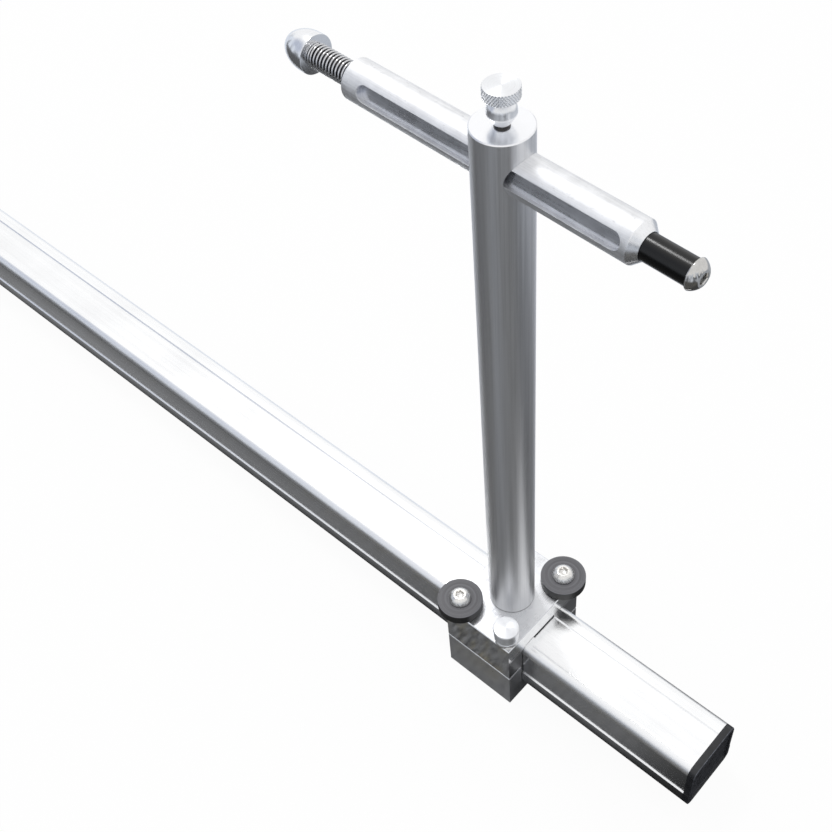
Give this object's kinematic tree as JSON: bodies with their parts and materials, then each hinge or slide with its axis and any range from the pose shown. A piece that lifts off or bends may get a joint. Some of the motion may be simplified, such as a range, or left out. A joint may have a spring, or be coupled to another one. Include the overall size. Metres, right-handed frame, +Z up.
{
  "type": "toe alignment bar",
  "caption": "Long aluminium bar with sliding carriages; each carries a post and a clamped arm whose sprung contact plunger points out at wheel height.",
  "frame": {"origin": "on the ground under the middle of the bar", "axes": "+X along the bar to the near end, +Y across the bar, +Z up"},
  "size_m": [1.8388, 0.0924, 0.5026],
  "materials": {
    "bar_aluminium": "drawn extrusion, satin, fine lengthwise lines",
    "black_plastic": "moulded, satin",
    "block_aluminium": "milled and polished faces",
    "post_aluminium": "drawn round bar with lengthwise streaks",
    "arm_aluminium": "satin turned round bar, milled slot",
    "turned_aluminium": "lathe turned, bright",
    "stainless": "bright stainless fasteners",
    "black_oxide": "black oxide steel, satin",
    "black_acetal": "turned acetal, satin with fine turning lines",
    "spring_wire": "bright spring wire"
  },
  "bodies": {
    "bar": {"bar": "bar_aluminium", "near_end_cap": "black_plastic", "far_end_cap": "black_plastic"},
    "near_carriage": {"near_saddle": "block_aluminium", "near_keeper": "block_aluminium", "near_post": "post_aluminium", "near_post_bolt": "black_oxide", "near_disc_bushes": "black_oxide", "near_disc_screws": "stainless", "near_clamp_washers": "stainless"},
    "near_rear_disc": {"near_disc_rear": "black_acetal"},
    "near_front_disc": {"near_disc_front": "black_acetal"},
    "near_front_clamp": {"near_clamp_knob_front": "turned_aluminium", "near_clamp_stud_front": "stainless"},
    "near_rear_clamp": {"near_clamp_knob_rear": "turned_aluminium", "near_clamp_stud_rear": "stainless"},
    "near_thumb_screw": {"near_thumb_head": "turned_aluminium", "near_thumb_stud": "black_oxide"},
    "near_arm": {"near_arm": "arm_aluminium"},
    "near_plunger": {"near_plunger_rod": "black_oxide", "near_plunger_sleeve": "black_acetal", "near_ball_knob": "turned_aluminium", "near_contact_tip": "stainless", "near_spring": "spring_wire"},
    "far_carriage": {"far_saddle": "block_aluminium", "far_keeper": "block_aluminium", "far_post": "post_aluminium", "far_post_bolt": "black_oxide", "far_disc_bushes": "black_oxide", "far_disc_screws": "stainless", "far_clamp_washers": "stainless"},
    "far_rear_disc": {"far_disc_rear": "black_acetal"},
    "far_front_disc": {"far_disc_front": "black_acetal"},
    "far_front_clamp": {"far_clamp_knob_front": "turned_aluminium", "far_clamp_stud_front": "stainless"},
    "far_rear_clamp": {"far_clamp_knob_rear": "turned_aluminium", "far_clamp_stud_rear": "stainless"},
    "far_thumb_screw": {"far_thumb_head": "turned_aluminium", "far_thumb_stud": "black_oxide"},
    "far_arm": {"far_arm": "arm_aluminium"},
    "far_plunger": {"far_plunger_rod": "black_oxide", "far_plunger_sleeve": "black_acetal", "far_ball_knob": "turned_aluminium", "far_contact_tip": "stainless", "far_spring": "spring_wire"}
  },
  "joints": [
    {"name": "near_carriage_slide", "type": "slide", "parent": "bar", "child": "near_carriage", "axis": [1, 0, 0], "range_m": [-0.5, 0.13]},
    {"name": "near_rear_disc_turn", "type": "hinge", "parent": "near_carriage", "child": "near_rear_disc", "pos_m": [0.72662, -0.03035, 0.0749], "axis": [0, 0, 1], "continuous": true},
    {"name": "near_front_disc_turn", "type": "hinge", "parent": "near_carriage", "child": "near_front_disc", "pos_m": [0.76997, 0.03035, 0.0749], "axis": [0, 0, 1], "continuous": true},
    {"name": "near_front_clamp_turn", "type": "hinge", "parent": "near_carriage", "child": "near_front_clamp", "pos_m": [0.76848, -0.03035, 0.0749], "axis": [0, 0, 1], "range_deg": [0, 360]},
    {"name": "near_rear_clamp_turn", "type": "hinge", "parent": "near_carriage", "child": "near_rear_clamp", "pos_m": [0.72813, 0.03035, 0.0749], "axis": [0, 0, 1], "range_deg": [0, 360]},
    {"name": "near_thumb_screw_turn", "type": "hinge", "parent": "near_carriage", "child": "near_thumb_screw", "pos_m": [0.7483, 0, 0.4813], "axis": [0, 0, 1], "range_deg": [0, 360]},
    {"name": "near_arm_slide", "type": "slide", "parent": "near_carriage", "child": "near_arm", "axis": [0.9982, -0.0593, 0], "range_m": [-0.06, 0.083]},
    {"name": "near_plunger_slide", "type": "slide", "parent": "near_arm", "child": "near_plunger", "axis": [0.9982, -0.0593, 0], "range_m": [0, 0.012], "stiffness_N_per_m": 300, "springref_m": -0.01, "deforming": ["near_spring"]},
    {"name": "far_carriage_slide", "type": "slide", "parent": "bar", "child": "far_carriage", "axis": [-1, 0, 0], "range_m": [-0.5, 0.13]},
    {"name": "far_rear_disc_turn", "type": "hinge", "parent": "far_carriage", "child": "far_rear_disc", "pos_m": [-0.72662, 0.03035, 0.0749], "axis": [0, 0, 1], "continuous": true},
    {"name": "far_front_disc_turn", "type": "hinge", "parent": "far_carriage", "child": "far_front_disc", "pos_m": [-0.76997, -0.03035, 0.0749], "axis": [0, 0, 1], "continuous": true},
    {"name": "far_front_clamp_turn", "type": "hinge", "parent": "far_carriage", "child": "far_front_clamp", "pos_m": [-0.76848, 0.03035, 0.0749], "axis": [0, 0, 1], "range_deg": [0, 360]},
    {"name": "far_rear_clamp_turn", "type": "hinge", "parent": "far_carriage", "child": "far_rear_clamp", "pos_m": [-0.72813, -0.03035, 0.0749], "axis": [0, 0, 1], "range_deg": [0, 360]},
    {"name": "far_thumb_screw_turn", "type": "hinge", "parent": "far_carriage", "child": "far_thumb_screw", "pos_m": [-0.7483, 0, 0.4813], "axis": [0, 0, 1], "range_deg": [0, 360]},
    {"name": "far_arm_slide", "type": "slide", "parent": "far_carriage", "child": "far_arm", "axis": [-0.9982, 0.0593, 0], "range_m": [-0.06, 0.083]},
    {"name": "far_plunger_slide", "type": "slide", "parent": "far_arm", "child": "far_plunger", "axis": [-0.9982, 0.0593, 0], "range_m": [0, 0.012], "stiffness_N_per_m": 300, "springref_m": -0.01, "deforming": ["far_spring"]}
  ]
}
